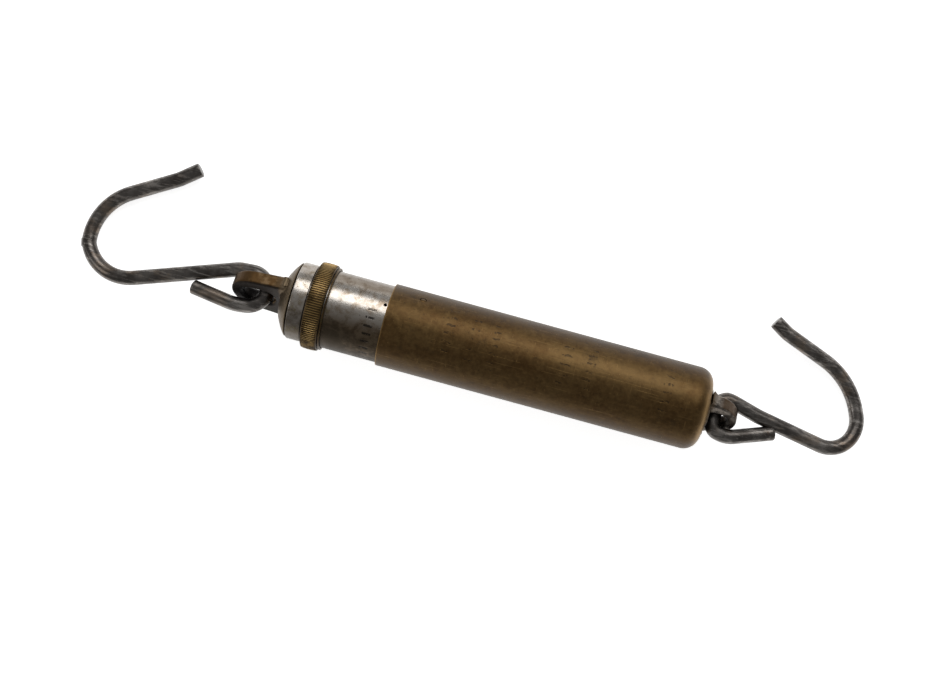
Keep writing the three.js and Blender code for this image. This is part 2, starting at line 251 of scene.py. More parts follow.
def revolved(outline, around, place):
    # outline is (along, radius) in millimetres, closed or with both ends on the axis
    bm = bmesh.new()
    rings = []
    for along, r in outline:
        if r < 1e-6:
            rings.append([bm.verts.new(place(along, 0, 0))])
        else:
            rings.append([bm.verts.new(place(along, r, 2 * math.pi * i / around)) for i in range(around)])
    for k, ring in enumerate(rings):
        other = rings[(k + 1) % len(rings)]
        if len(ring) == 1 and len(other) == 1:
            continue
        for i in range(around):
            j = (i + 1) % around
            if len(ring) == 1:
                bm.faces.new((ring[0], other[j], other[i]))
            elif len(other) == 1:
                bm.faces.new((ring[i], ring[j], other[0]))
            else:
                bm.faces.new((ring[i], ring[j], other[j], other[i]))
    return bm


def turnedShell(outline, around=160):
    # a turned piece about the scale's axis
    return revolved(outline, around,
                    lambda x, r, a: mouth + Vector((x, r * math.cos(a), r * math.sin(a))) * mm)


def carve(obj, *cutters):
    for cutter in cutters:
        change = obj.modifiers.new("cut", "BOOLEAN")
        change.operation = "DIFFERENCE"
        change.solver = "EXACT"
        change.object = cutter
    flatten(obj)
    for cutter in cutters:
        bpy.data.objects.remove(cutter)


def flatten(obj, sharp=32):
    # keeps what the modifiers made as a plain mesh
    graph = bpy.context.evaluated_depsgraph_get()
    graph.update()
    mesh = bpy.data.meshes.new_from_object(obj.evaluated_get(graph), preserve_all_data_layers=True,
                                           depsgraph=graph)
    obj.modifiers.clear()
    obj.data = mesh
    mesh.shade_smooth()
    mesh.set_sharp_from_angle(angle=math.radians(sharp))


def radialCutter(x, angle, radius, inner, outer, sides=40):
    bm = bmesh.new()
    bmesh.ops.create_cone(bm, cap_ends=True, segments=sides, radius1=radius * mm, radius2=radius * mm,
                          depth=(outer - inner) * mm)
    turn = Matrix.Rotation(-math.radians(angle), 4, "X")
    bm.transform(Matrix.Translation(mouth + Vector((x, 0, 0)) * mm) @ turn
                 @ Matrix.Translation(Vector((0, 0, (inner + outer) / 2 * mm))))
    return piece("cutter", bm, None)


def slotCutter(x0, x1, angle, halfWidth, inner, outer):
    # a round-ended slot along the tube
    bm = bmesh.new()
    outline = []
    for centre, start in ((x1 - halfWidth, -90), (x0 + halfWidth, 90)):
        for k in range(13):
            a = math.radians(start + 15 * k)
            outline.append((centre + halfWidth * math.cos(a), halfWidth * math.sin(a)))
    low = [bm.verts.new(Vector((x, y, inner)) * mm) for x, y in outline]
    high = [bm.verts.new(Vector((x, y, outer)) * mm) for x, y in outline]
    bm.faces.new(low)
    bm.faces.new(high)
    for i in range(len(low)):
        j = (i + 1) % len(low)
        bm.faces.new((low[i], low[j], high[j], high[i]))
    bm.transform(Matrix.Translation(mouth) @ Matrix.Rotation(-math.radians(angle), 4, "X"))
    return piece("cutter", bm, None)


def wire(name, points, radius, material, ends=0.35, sides=10):
    # a round wire along points (millimetres, already in the scale's frame), with eased cut ends
    curve = bpy.data.curves.new(name, "CURVE")
    curve.dimensions = "3D"
    curve.bevel_depth = radius * mm
    curve.bevel_resolution = sides
    curve.use_fill_caps = True
    points = [Vector(p) for p in points]
    for side in (0, -1):
        tip, inner = points[side], points[1 if side == 0 else -2]
        inward = (inner - tip).normalized()
        eased = [tip + inward * ends * share for share in (0.0, 0.12, 0.4, 1.0)]
        points = eased + points[1:] if side == 0 else points[:-1] + eased[::-1]
    spline = curve.splines.new("POLY")
    spline.points.add(len(points) - 1)
    shrink = [1 - ends / radius, 1 - 0.55 * ends / radius, 1 - 0.2 * ends / radius, 1.0]
    for i, p in enumerate(points):
        spline.points[i].co = (*(mouth + p * mm), 1)
        near = min(i, len(points) - 1 - i)
        spline.points[i].radius = shrink[near] if near < len(shrink) else 1.0
    maker = bpy.data.objects.new(name, curve)
    bpy.context.scene.collection.objects.link(maker)
    graph = bpy.context.evaluated_depsgraph_get()
    graph.update()
    mesh = bpy.data.meshes.new_from_object(maker.evaluated_get(graph))
    bpy.data.objects.remove(maker)
    bm = bmesh.new()
    bm.from_mesh(mesh)
    bmesh.ops.remove_doubles(bm, verts=bm.verts, dist=1e-7)
    return piece(name, bm, material, sharp=40)


def softened(name, node, material, voxel, rounds):
    # a CAD node's copy with every edge rounded over, for forged and worn pieces
    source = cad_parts[node]
    bm = bmesh.new()
    bm.from_mesh(source.data)
    bmesh.ops.remove_doubles(bm, verts=bm.verts, dist=1e-6)
    obj = piece(name, bm, material)
    remesh = obj.modifiers.new("remesh", "REMESH")
    remesh.mode = "VOXEL"
    remesh.voxel_size = voxel * mm
    smooth = obj.modifiers.new("smooth", "SMOOTH")
    smooth.factor = 0.5
    smooth.iterations = rounds
    flatten(obj, sharp=180)
    return obj


# finishes

tubeLook = dict(
    brown=(0.074, 0.0385, 0.0115), olive=(0.108, 0.064, 0.0225), gold=(0.27, 0.165, 0.062),
    # the grey multiplier on the next line, after the stain colour, darkens the tube's sides as painted shade
    stain=(0.032, 0.0195, 0.009), sideShade=(0.6, 0.58, 0.55), endFrom=98.6, endTo=100.6,
    rows=((19.5, 1.6, 30), (27.0, 1.4, 26), (33.5, 1.2, 34), (55.0, 1.7, 28), (62.5, 1.5, 32),
          (86.0, 1.6, 30)),
)


def agedBrass():
    f = Finish("agedBrass", Metallic=1.0, Coat_Weight=0.12, Coat_Roughness=0.4)
    broad = f.noise(0.05, 5, 0.6, stretch=(0.6, 1, 1))
    cloudy = f.noise(0.22, 6, 0.65, offset=(7, 3, 1))
    fine = f.noise(1.4, 6, 0.7, offset=(2, 9, 4))
    along = f.noise(0.9, 5, 0.65, stretch=(0.05, 1.6, 1.6))
    around = f.noise(1.0, 4, 0.6, stretch=(3.5, 0.22, 0.22))
    mottle = f.noise(0.6, 6, 0.7, offset=(6, 2, 8))
    tone = f.band(broad * 0.45 + cloudy * 0.3 + mottle * 0.25, 0.4, 0.6)
    color = f.mix(tone, tubeLook["brown"], tubeLook["olive"])
    color = f.times(color, f.grey(0.72 + 0.56 * along), 0.7)
    color = f.times(color, f.grey(0.3 + 1.4 * mottle), 0.7)
    color = f.times(color, f.grey(0.7 + 0.6 * fine), 0.7)
    # painted shade: the tube is darkened towards both sides, away from its top
    sides = f.band(f.y.absolute() + 1.5 * cloudy, 8.5, 12.0)
    color = f.times(color, tubeLook["sideShade"], sides)
    specks = f.specks((0.55, 0.17, 0.06, (5, 5, 5)), (0.3, 3, 0.5, 0.6, (0, 0, 0)))
    color = f.mix(specks * 0.75, color, tubeLook["stain"])
    blots = f.band(f.noise(0.13, 6, 0.7, offset=(20, 4, 8)), 0.57, 0.7)
    color = f.mix(blots * 0.55, color, tubeLook["stain"])
    # rubbed bright where the closed end turns in, and along the mouth
    endRub = f.band(f.x + 3.0 * cloudy, tubeLook["endFrom"], tubeLook["endTo"])
    mouthRub = f.band(f.x + 0.5 * fine, 0.75, 0.25)
    rubbed = (endRub * 0.7).most(mouthRub * 0.8)
    # rows of plain worn strokes, pressed in across the tube
    turn = f.y.maths("ARCTAN2", f.y, f.z)
    broken = f.noise(0.9, 3, 0.6, offset=(8, 5, 2))
    strokes = None
    for place, half, count in tubeLook["rows"]:
        wander = turn * count + 5.0 * f.noise(0.35, 2, offset=(place, 1, 1))
        swing = wander.maths("SINE", wander)
        row = f.band((f.x - place).absolute(), half, half - 0.35) * f.band(swing, 0.7, 0.9)
        strokes = row if strokes is None else strokes.most(row)
    strokes = strokes * f.band(broken, 0.44, 0.52) * f.band((f.y - 2.0).absolute(), 8.5, 6.0)
    color = f.mix(strokes * 0.7, color, tubeLook["stain"])
    scratchLines = f.band(f.noise(1.7, 2, 0.5, stretch=(0.04, 2.2, 2.2), offset=(3, 1, 7)), 0.66, 0.72)
    crossLines = f.band(f.noise(1.2, 2, 0.5, stretch=(2.4, 0.12, 0.5), offset=(9, 2, 3)), 0.68, 0.74)
    flecks = f.specks((0.75, 0.13, 0.05, (7, 1, 6)), (0.4, 3, 0.5, 0.6, (1, 8, 5)))
    rubbed = rubbed.most((scratchLines + crossLines).clamped() * 0.35).most(flecks * 0.5)
    color = f.mix(rubbed, color, tubeLook["gold"])
    rough = 0.28 + 0.1 * cloudy + 0.14 * mottle + 0.14 * fine + 0.06 * blots - 0.06 * rubbed
    pits = f.specks((1.15, 0.16, 0.03, (1, 4, 2)), (0.35, 2, 0.47, 0.58, (4, 4, 4)))
    dents = f.noise(0.16, 2, 0.4, offset=(8, 8, 2))
    height = dents * 1.6 + cloudy * 0.35 + mottle * 0.3 + fine * 0.22 - pits * 0.6 - strokes * 0.7
    height = height - (scratchLines + crossLines) * 0.15 + around * 0.1
    return f.finish(color, rough.clamped(), bump=height, depth=0.09)


def ringBrass():
    f = Finish("ringBrass", Metallic=1.0)
    radius = (f.y * f.y + f.z * f.z) ** 0.5
    crest = f.band(radius + 0.2 * f.noise(0.5, 4), 13.25, 13.5)
    patch = f.noise(0.16, 4, 0.6)
    fine = f.noise(1.6, 5, 0.7)
    color = f.mix(f.band(patch, 0.35, 0.65), (0.045, 0.028, 0.013), (0.09, 0.058, 0.026))
    # gold on the ridge crests is brass worn bare on the high points, brightened into a painted highlight
    color = f.mix(crest * f.band(patch, 0.32, 0.55) * 0.85, color, (0.4, 0.265, 0.105))
    color = f.times(color, f.grey(0.7 + 0.6 * fine), 0.7)
    green = f.band(f.noise(0.7, 4, 0.7, offset=(4, 1, 1)), 0.6, 0.7) * (1 - crest)
    color = f.mix(green * 0.6, color, (0.075, 0.082, 0.04))
    return f.finish(color, (0.27 + 0.25 * fine).clamped(), bump=fine * 0.4 + patch * 0.4, depth=0.05)


nickelLook = dict(
    plate=(0.43, 0.40, 0.365), warm=(0.235, 0.185, 0.135), stain=(0.042, 0.032, 0.0215),
    tick=(0.014, 0.012, 0.01), green=(0.17, 0.165, 0.07),
    # the first colour on the next line is the brown tint of the painted shade
    paintedShade=(0.27, 0.215, 0.155), tickFrom=-5.5, tickTo=-2.5, ticks=30)


def nickel(name="nickel", greenFrom=-21.0, stainShare=1.0, tickShare=1.0, paintedShadeShare=1.0):
    f = Finish(name, Metallic=1.0)
    broad = f.noise(0.09, 5, 0.62, offset=(3, 3, 0))
    cloudy = f.noise(0.35, 6, 0.7, offset=(1, 7, 2))
    fine = f.noise(1.9, 6, 0.72)
    along = f.noise(1.1, 4, 0.6, stretch=(0.08, 1.5, 1.5), offset=(0, 3, 5))
    color = f.mix(f.band(cloudy, 0.4, 0.7), nickelLook["plate"], nickelLook["warm"])
    color = f.times(color, f.grey(0.78 + 0.44 * along), 0.55)
    # dark stains creep from the ring over the lower side, where their weighting adds painted shade; a brown
    # painted shade darkens the lower side and, more lightly, the upper edge
    side = f.band(f.y, 2.5, -9.5)
    paintedShade = f.band(f.y + 2.0 * cloudy, 4.0, -3.5).most(f.band(f.y + cloudy, 7.8, 10.0) * 0.75)
    color = f.times(color, nickelLook["paintedShade"], paintedShade * paintedShadeShare)
    nearRing = f.band(f.x, -4.0, -15.0)
    stain = f.band(cloudy * 0.5 + broad * 0.25 + side * 0.3 + nearRing * 0.1, 0.52, 0.74) * stainShare
    color = f.mix(stain * 0.9, color, nickelLook["stain"])
    spots = f.specks((0.8, 0.2, 0.08, (2, 2, 2)), (0.5, 3, 0.52, 0.62, (3, 8, 8)))
    color = f.mix(spots * 0.8, color, nickelLook["stain"])
    # a worn ring of plain ticks next to the case
    turn = f.y.maths("ARCTAN2", f.y, f.z)
    strokes = f.band((turn * nickelLook["ticks"]).maths("SINE", turn * nickelLook["ticks"]), 0.45, 0.75)
    row = f.band(f.x, nickelLook["tickFrom"], nickelLook["tickFrom"] + 0.3)
    row = row * f.band(f.x, nickelLook["tickTo"], nickelLook["tickTo"] - 0.3)
    ticks = strokes * row * f.band(f.y, 5.0, 2.0) * f.band(fine, 0.38, 0.48) * tickShare
    color = f.mix(ticks * 0.85, color, nickelLook["tick"])
    verdigris = f.band(fine * 0.5 + cloudy * 0.5, 0.53, 0.66) * f.band(f.x, greenFrom + 7, greenFrom + 2)
    color = f.mix(verdigris * 0.7, color, nickelLook["green"])
    dull = stain.most(verdigris)
    rough = 0.16 + 0.13 * fine + 0.08 * cloudy + 0.2 * dull
    metal = 1 - 0.45 * verdigris
    height = fine * 0.2 + cloudy * 0.35 - spots * 0.4 - ticks * 0.5 + stain * 0.1 + along * 0.12
    return f.finish(color, rough.clamped(), metallic=metal.clamped(), bump=height, depth=0.05)


def lugPlace(f, turn):
    # how far a point lies from the middle plane of an eye's lug, and across the lug
    lean = math.radians(turn)
    return f.y * math.cos(lean) - f.z * math.sin(lean), f.y * math.sin(lean) + f.z * math.cos(lean)


bronzeLook = dict(
    # the near black at the end of the next line is painted shade for the lug's flat faces and its hole
    turn=28, brown=(0.078, 0.043, 0.017), tan=(0.165, 0.108, 0.056), lugShade=(0.02, 0.018, 0.0175),
    shoulder=(0.125, 0.093, 0.058), green=(0.12, 0.11, 0.04), pit=(0.02, 0.015, 0.01))


def bronzeEye():
    f = Finish("bronzeEye", Metallic=1.0)
    cloudy = f.noise(0.3, 6, 0.68, offset=(1, 2, 3))
    fine = f.noise(1.5, 6, 0.72)
    level, across = lugPlace(f, bronzeLook["turn"])
    shoulder = f.band(f.x + 1.5 * cloudy, -32.4, -30.6)
    # brown and tan vary at random, with more tan towards the root as a painted highlight
    color = f.mix(f.band(cloudy + 0.02 * (f.x + 36), 0.42, 0.66), bronzeLook["brown"], bronzeLook["tan"])
    color = f.mix(f.band(across, -4.5, -6.5), color, bronzeLook["green"])
    # painted shade: the lug's flat faces, except at the shoulder, are painted near black
    lugShade = f.band(level.absolute() + 0.5 * fine, 1.9, 2.3) * (1 - shoulder)
    color = f.mix(lugShade * 0.9, color, bronzeLook["lugShade"])
    color = f.mix(shoulder, color, bronzeLook["shoulder"])
    # painted shade: the inside of the eye's hole is painted near black
    holeShade = f.band(across.absolute(), 3.9, 3.4) * f.band((f.x + 40).absolute(), 5.2, 4.6)
    color = f.mix(holeShade, color, bronzeLook["lugShade"])
    color = f.times(color, f.grey(0.72 + 0.56 * fine), 0.75)
    pits = f.specks((1.3, 0.2, 0.05, (0, 0, 0)), (0.5, 3, 0.45, 0.6, (6, 6, 6)))
    color = f.mix(pits * 0.6, color, bronzeLook["pit"])
    rough = 0.3 + 0.2 * fine + 0.1 * cloudy + 0.1 * lugShade
    return f.finish(color, rough.clamped(), bump=cloudy * 1.1 + fine * 0.4 - pits * 0.7, depth=0.07)


eyeSteelLook = dict(
    turn=33, steel=(0.21, 0.183, 0.155), worn=(0.36, 0.31, 0.265), brown=(0.075, 0.046, 0.026),
    foot=(0.1, 0.075, 0.05), dark=(0.05, 0.042, 0.036))


def steelEye():
    f = Finish("steelEye", Metallic=1.0)
    cloudy = f.noise(0.32, 6, 0.66, offset=(4, 2, 2))
    fine = f.noise(1.6, 6, 0.74)
    level, across = lugPlace(f, eyeSteelLook["turn"])
    color = f.mix(f.band(cloudy, 0.36, 0.6), eyeSteelLook["dark"], eyeSteelLook["steel"])
    color = f.mix(f.band(fine * 0.6 + cloudy * 0.4, 0.48, 0.62) * 0.6, color, eyeSteelLook["worn"])
    edge = f.band(level.absolute() + 0.4 * fine, 2.2, 1.9)
    tip = f.band(f.x + 1.6 * cloudy, 103.4, 105.2)
    color = f.mix(edge * tip * 0.85, color, eyeSteelLook["brown"])
    color = f.mix(f.band(f.x + cloudy, 102.4, 101.2), color, eyeSteelLook["foot"])
    color = f.times(color, f.grey(0.75 + 0.5 * fine), 0.7)
    # painted shade: the inside of the eye's hole is painted dark
    holeShade = f.band(across.absolute(), 3.9, 3.4) * f.band((f.x - 103).absolute(), 4.4, 3.8)
    color = f.mix(holeShade, color, eyeSteelLook["dark"])
    pits = f.specks((1.3, 0.2, 0.05, (3, 1, 1)), (0.5, 3, 0.47, 0.6, (2, 6, 2)))
    color = f.mix(pits * 0.5, color, eyeSteelLook["dark"])
    rough = 0.28 + 0.2 * fine + 0.08 * cloudy
    return f.finish(color, rough.clamped(), bump=cloudy * 0.8 + fine * 0.35 - pits * 0.6, depth=0.06)


wireLook = dict(base=(0.135, 0.124, 0.115), worn=(0.37, 0.345, 0.32), dark=(0.055, 0.049, 0.044),
                rust=(0.105, 0.06, 0.034), tan=(0.17, 0.128, 0.094), pit=(0.025, 0.02, 0.017))


def drawnWire():
    f = Finish("drawnWire", Metallic=1.0)
    broad = f.noise(0.06, 4, 0.6, offset=(5, 1, 1))
    cloudy = f.noise(0.25, 5, 0.6, offset=(1, 5, 8))
    fine = f.noise(1.7, 5, 0.7)
    streaks = f.noise(0.8, 4, 0.6, stretch=(0.12, 1.4, 1.4), offset=(2, 4, 6))
    color = f.mix(f.band(cloudy * 0.6 + broad * 0.4, 0.34, 0.66), wireLook["dark"], wireLook["base"])
    rubbed = f.band(streaks * 0.6 + fine * 0.15 + broad * 0.25, 0.48, 0.62)
    color = f.mix(rubbed * 0.6, color, wireLook["worn"])
    tan = f.band(f.noise(0.12, 4, 0.6, offset=(7, 2, 9)) * 0.7 + streaks * 0.3, 0.5, 0.62)
    color = f.mix(tan * 0.6, color, wireLook["tan"])
    rust = f.band(f.noise(0.5, 6, 0.7, offset=(9, 9, 1)), 0.6, 0.7)
    color = f.mix(rust * 0.5, color, wireLook["rust"])
    pits = f.specks((1.2, 0.18, 0.05, (3, 3, 1)), (0.4, 3, 0.5, 0.62, (2, 6, 6)))
    color = f.mix(pits * 0.6, color, wireLook["pit"])
    rough = 0.24 + 0.12 * fine + 0.06 * cloudy + 0.12 * rust
    return f.finish(color, rough.clamped(), bump=cloudy * 0.6 + fine * 0.14 - pits * 0.6, depth=0.05)


def plainMetal(name, color, roughness):
    f = Finish(name, Metallic=1.0)
    fine = f.noise(1.2, 5, 0.7)
    turnedLines = f.noise(3.0, 2, 0.5, stretch=(4, 0.2, 0.2))
    shade = f.times(color, f.grey(0.75 + 0.5 * fine), 0.8)
    return f.finish(shade, (roughness + 0.15 * fine).clamped(), bump=turnedLines + fine * 0.5)


def ink():
    f = Finish("ink", Metallic=0.0, Roughness=0.55)
    worn = f.noise(1.5, 5, 0.7)
    return f.finish(f.mix(worn, (0.012, 0.011, 0.01), (0.04, 0.036, 0.03)), bump=worn, depth=0.01)


print("finishes")
brassMaterial = agedBrass()
ringMaterial = ringBrass()
nickelMaterial = nickel()
# the cap band takes 0.4 of the nickel's painted shade on its sides
bandMaterial = nickel("bandNickel", greenFrom=-29.0, stainShare=0.7, tickShare=0.0, paintedShadeShare=0.4)
bronzeMaterial = bronzeEye()
eyeSteelMaterial = steelEye()
hookMaterial = drawnWire()
springMaterial = plainMetal("springSteel", (0.16, 0.16, 0.17), 0.3)
turnedMaterial = plainMetal("turnedSteel", (0.36, 0.35, 0.34), 0.32)
inkMaterial = ink()


# case: outer tube and guide pin head

case = dict(length=99.8, radius=12.7, wall=0.5, cornerDepth=4.7, cornerHeight=4.5, opening=8.0, pinX=9.5,
            pinAngle=51, pinRadius=0.9)


def roundedEnd(wall, steps):
    deep, high = case["cornerDepth"] - wall, case["cornerHeight"] - wall
    x0, r0 = case["length"] - case["cornerDepth"], case["radius"] - case["cornerHeight"]
    return [(x0 + deep * math.sin(k / steps * math.pi / 2), r0 + high * math.cos(k / steps * math.pi / 2))
            for k in range(steps + 1)]


caseOutline = [(0.0, case["radius"] - 0.12), (0.05, case["radius"] - 0.03), (0.14, case["radius"])]
caseOutline += [(x, case["radius"]) for x in (20, 45, 70)]
caseOutline += roundedEnd(0, 20)
caseOutline += [(case["length"], case["opening"] + 0.12), (case["length"] - 0.12, case["opening"])]
caseOutline += [(case["length"] - case["wall"], case["opening"])]
caseOutline += roundedEnd(case["wall"], 12)[::-1]
caseOutline += [(0.1, case["radius"] - case["wall"]), (0.0, case["radius"] - case["wall"] + 0.08)]
outerTube = piece("outerTube", turnedShell(caseOutline, 192), brassMaterial)
carve(outerTube, radialCutter(case["pinX"], case["pinAngle"], case["pinRadius"] + 0.12, 11, 14))
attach(outerTube, "case")
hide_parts("outer_tube")

pinOutline = [
    (-1.9, 0.0), (-1.9, case["pinRadius"]), (0.55, case["pinRadius"]), (0.68, case["pinRadius"] - 0.18),
    (0.74, case["pinRadius"] - 0.45), (0.76, 0.0),
]
pin = revolved(pinOutline, 32, lambda h, r, a: Vector((r * math.cos(a), r * math.sin(a), h)) * mm)
pin.transform(Matrix.Translation(mouth + Vector((case["pinX"], 0, 0)) * mm)
              @ Matrix.Rotation(-math.radians(case["pinAngle"]), 4, "X")
              @ Matrix.Translation(Vector((0, 0, 12.0 * mm))))
guidePin = piece("guidePin", pin, brassMaterial)
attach(guidePin, "case")
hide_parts("guide_pin")
print("case")


# inner tube with its slots and vent

stem = dict(start=-23.3, end=88.0, radius=11.9, wall=0.6, slotFrom=7.55, slotTo=65.45, slotHalf=1.2,
            ventX=-0.75, ventAngle=27.5, ventRadius=0.55)
stemOutline = [(x, stem["radius"]) for x in (stem["start"], -10.0, 30.0, 60.0, stem["end"] - 0.15)]
stemOutline += [(stem["end"], stem["radius"] - 0.15), (stem["end"], stem["radius"] - stem["wall"]),
                (stem["start"], stem["radius"] - stem["wall"])]
innerTube = piece("innerTube", turnedShell(stemOutline, 192), nickelMaterial)
carve(innerTube,
      slotCutter(stem["slotFrom"], stem["slotTo"], case["pinAngle"], stem["slotHalf"], 9, 14),
      radialCutter(stem["ventX"], stem["ventAngle"], stem["ventRadius"], 9, 14))
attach(innerTube, "handle")
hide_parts("inner_tube")
print("inner tube")


# cap band

cap = dict(top=-28.2, bandEnd=-23.6, radius=11.85, ease=0.3)
capOutline = filletPath([(cap["top"], 6.0), (cap["top"], cap["radius"]), (cap["bandEnd"], cap["radius"]),
                         (cap["bandEnd"], 11.0), (-14.6, 11.0), (-14.6, 9.9), (-26.7, 9.9), (-26.7, 3.3),
                         (cap["top"], 3.3)],
                        [0, cap["ease"], cap["ease"], 0, 0, 0, 0, 0, 0], closed=True,
                        turnStep=math.radians(20))
topCap = piece("topCap", turnedShell(capOutline, 160), bandMaterial)
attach(topCap, "handle")
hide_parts("top_cap")


# zero ring: bead, knurl ridges and collar

ring = dict(start=-23.25, end=-18.15, radius=13.16, edge=12.66, bore=12.2, power=0.7, reach=0.9,
            ridges=116, ridgeRadius=0.17, steps=14)


def ringCurve(t):
    # t runs from 0 to 1 over the bead
    half = (ring["end"] - ring["start"]) / 2
    a = math.pi * (1 - t)
    return ((ring["start"] + ring["end"]) / 2 + half * math.cos(a),
            ring["edge"] + (ring["radius"] - ring["edge"]) * math.sin(a) ** ring["power"])


ringOutline = [(ring["start"], ring["bore"])] + [ringCurve(k / 24) for k in range(25)]
ringOutline += [(ring["end"], ring["bore"]), (ring["end"] - 0.6, ring["bore"]), (ring["end"] - 0.6, 12.6),
                (ring["start"] + 0.6, 12.6), (ring["start"] + 0.6, ring["bore"])]
zeroRing = piece("zeroRing", turnedShell(ringOutline, 246), ringMaterial)


def geometryTree(name, inputs):
    tree = bpy.data.node_groups.new(name, "GeometryNodeTree")
    tree.interface.new_socket("Geometry", in_out="OUTPUT", socket_type="NodeSocketGeometry")
    names = {}
    for label, (kind, value) in inputs.items():
        socket = tree.interface.new_socket(label, in_out="INPUT", socket_type=kind)
        if kind != "NodeSocketMaterial":
            socket.default_value = value
        names[label] = socket.identifier
    return tree, names


def addNode(tree, kind, settings=None, values=None):
    node = tree.nodes.new(kind)
    for key, value in (settings or {}).items():
        setattr(node, key, value)
    for key, value in (values or {}).items():
        if isinstance(value, bpy.types.NodeSocket):
            tree.links.new(value, node.inputs[key])
        else:
            node.inputs[key].default_value = value
    return node


def nodeMaths(tree, operation, *values):
    return addNode(tree, "ShaderNodeMath", dict(operation=operation), dict(enumerate(values))).outputs[0]


def finishTree(tree, geometry, material):
    made = addNode(tree, "GeometryNodeSetMaterial", None, {"Geometry": geometry, "Material": material})
    tree.links.new(made.outputs[0], tree.nodes.new("NodeGroupOutput").inputs[0])


def grown(name, tree, names, values, sharp=32):
    # runs a geometry tree once and keeps its result as a plain mesh
    obj = bpy.data.objects.new(name, bpy.data.meshes.new(name))
    bpy.context.scene.collection.objects.link(obj)
    change = obj.modifiers.new("grow", "NODES")
    change.node_group = tree
    for label, value in values.items():
        change[names[label]] = value
    flatten(obj, sharp)
    return obj


def knurlTree():
    inputs = {"Ridges": ("NodeSocketInt", ring["ridges"]), "Start": ("NodeSocketFloat", 0.0),
              "End": ("NodeSocketFloat", 1.0), "Edge Radius": ("NodeSocketFloat", 1.0),
              "Crest Radius": ("NodeSocketFloat", 1.0), "Ridge Radius": ("NodeSocketFloat", 0.1),
              "Finish": ("NodeSocketMaterial", None)}
    tree, names = geometryTree("knurl", inputs)
    given = tree.nodes.new("NodeGroupInput").outputs
    # one ridge bends over the bead, along X and standing off in Z
    line = addNode(tree, "GeometryNodeCurvePrimitiveLine", None, {})
    start = addNode(tree, "ShaderNodeCombineXYZ", None, {0: given["Start"], 2: given["Edge Radius"]})
    end = addNode(tree, "ShaderNodeCombineXYZ", None, {0: given["End"], 2: given["Edge Radius"]})
    tree.links.new(start.outputs[0], line.inputs["Start"])
    tree.links.new(end.outputs[0], line.inputs["End"])
    resample = addNode(tree, "GeometryNodeResampleCurve", None,
                       {"Curve": line.outputs[0], "Count": ring["steps"]})
    share = addNode(tree, "GeometryNodeSplineParameter").outputs["Factor"]
    reach = ring["reach"]
    way = nodeMaths(tree, "MULTIPLY_ADD", share, 2 * reach, -reach)
    square = nodeMaths(tree, "MULTIPLY", way, way)
    fall = nodeMaths(tree, "SUBTRACT", 1.0, square)
    bulge = nodeMaths(tree, "POWER", fall, ring["power"] / 2)
    rise = nodeMaths(tree, "SUBTRACT", given["Crest Radius"], given["Edge Radius"])
    lift = nodeMaths(tree, "MULTIPLY", bulge, rise)
    offset = addNode(tree, "ShaderNodeCombineXYZ", None, {2: lift}).outputs[0]
    bent = addNode(tree, "GeometryNodeSetPosition", None, {"Geometry": resample.outputs[0], "Offset": offset})
    profile = addNode(tree, "GeometryNodeCurvePrimitiveCircle", None,
                      {"Resolution": 6, "Radius": given["Ridge Radius"]})
    body = addNode(tree, "GeometryNodeCurveToMesh", None,
                   {"Curve": bent.outputs[0], "Profile Curve": profile.outputs[0], "Fill Caps": True})
    # the ridges stand round the ring
    posts = addNode(tree, "GeometryNodeMeshLine", None, {"Count": given["Ridges"], "Offset": (0, 0, 0)})
    index = addNode(tree, "GeometryNodeInputIndex").outputs[0]
    part = nodeMaths(tree, "DIVIDE", index, given["Ridges"])
    angle = nodeMaths(tree, "MULTIPLY", part, 2 * math.pi)
    turn = addNode(tree, "ShaderNodeCombineXYZ", None, {0: angle}).outputs[0]
    rotation = addNode(tree, "FunctionNodeEulerToRotation", None, {0: turn}).outputs[0]
    copies = addNode(tree, "GeometryNodeInstanceOnPoints", None,
                     {"Points": posts.outputs[0], "Instance": body.outputs[0], "Rotation": rotation})
    real = addNode(tree, "GeometryNodeRealizeInstances", None, {"Geometry": copies.outputs[0]})
    finishTree(tree, real.outputs[0], given["Finish"])
    return tree, names


ringMiddle, ringHalf = (ring["start"] + ring["end"]) / 2, (ring["end"] - ring["start"]) / 2
ringStart, ringEnd = ringMiddle - ringHalf * ring["reach"], ringMiddle + ringHalf * ring["reach"]
knurl, knurlNames = knurlTree()
ridges = grown("ringKnurl", knurl, knurlNames, {
    "Ridges": ring["ridges"], "Start": ringStart * mm, "End": ringEnd * mm,
    "Edge Radius": (ring["edge"] + 0.15) * mm, "Crest Radius": (ring["radius"] + 0.12) * mm,
    "Ridge Radius": ring["ridgeRadius"] * mm, "Finish": ringMaterial})
ridges.data.transform(Matrix.Translation(mouth))
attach(zeroRing, "ring")
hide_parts("zero_ring")
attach(ridges, "ring")

stop = dict(start=-17.85, end=-17.35, radius=12.75, bore=12.2, ease=0.12)
collarOutline = filletPath([(stop["start"], stop["radius"]), (stop["end"], stop["radius"]),
                            (stop["end"], stop["bore"]), (stop["start"], stop["bore"])],
                           [stop["ease"], stop["ease"], 0, 0], closed=True, turnStep=math.radians(20))
collar = piece("ringStopCollar", turnedShell(collarOutline, 160), ringMaterial)
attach(collar, "handle")
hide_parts("ring_stop_collar")
print("zero ring")


# eyes

topEye = softened("topEye", "top_eye", bronzeMaterial, voxel=0.26, rounds=9)
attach(topEye, "handle")
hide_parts("top_eye")
bottomEye = softened("bottomEye", "bottom_eye", eyeSteelMaterial, voxel=0.2, rounds=6)
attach(bottomEye, "case")
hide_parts("bottom_eye")
print("eyes")


# hooks

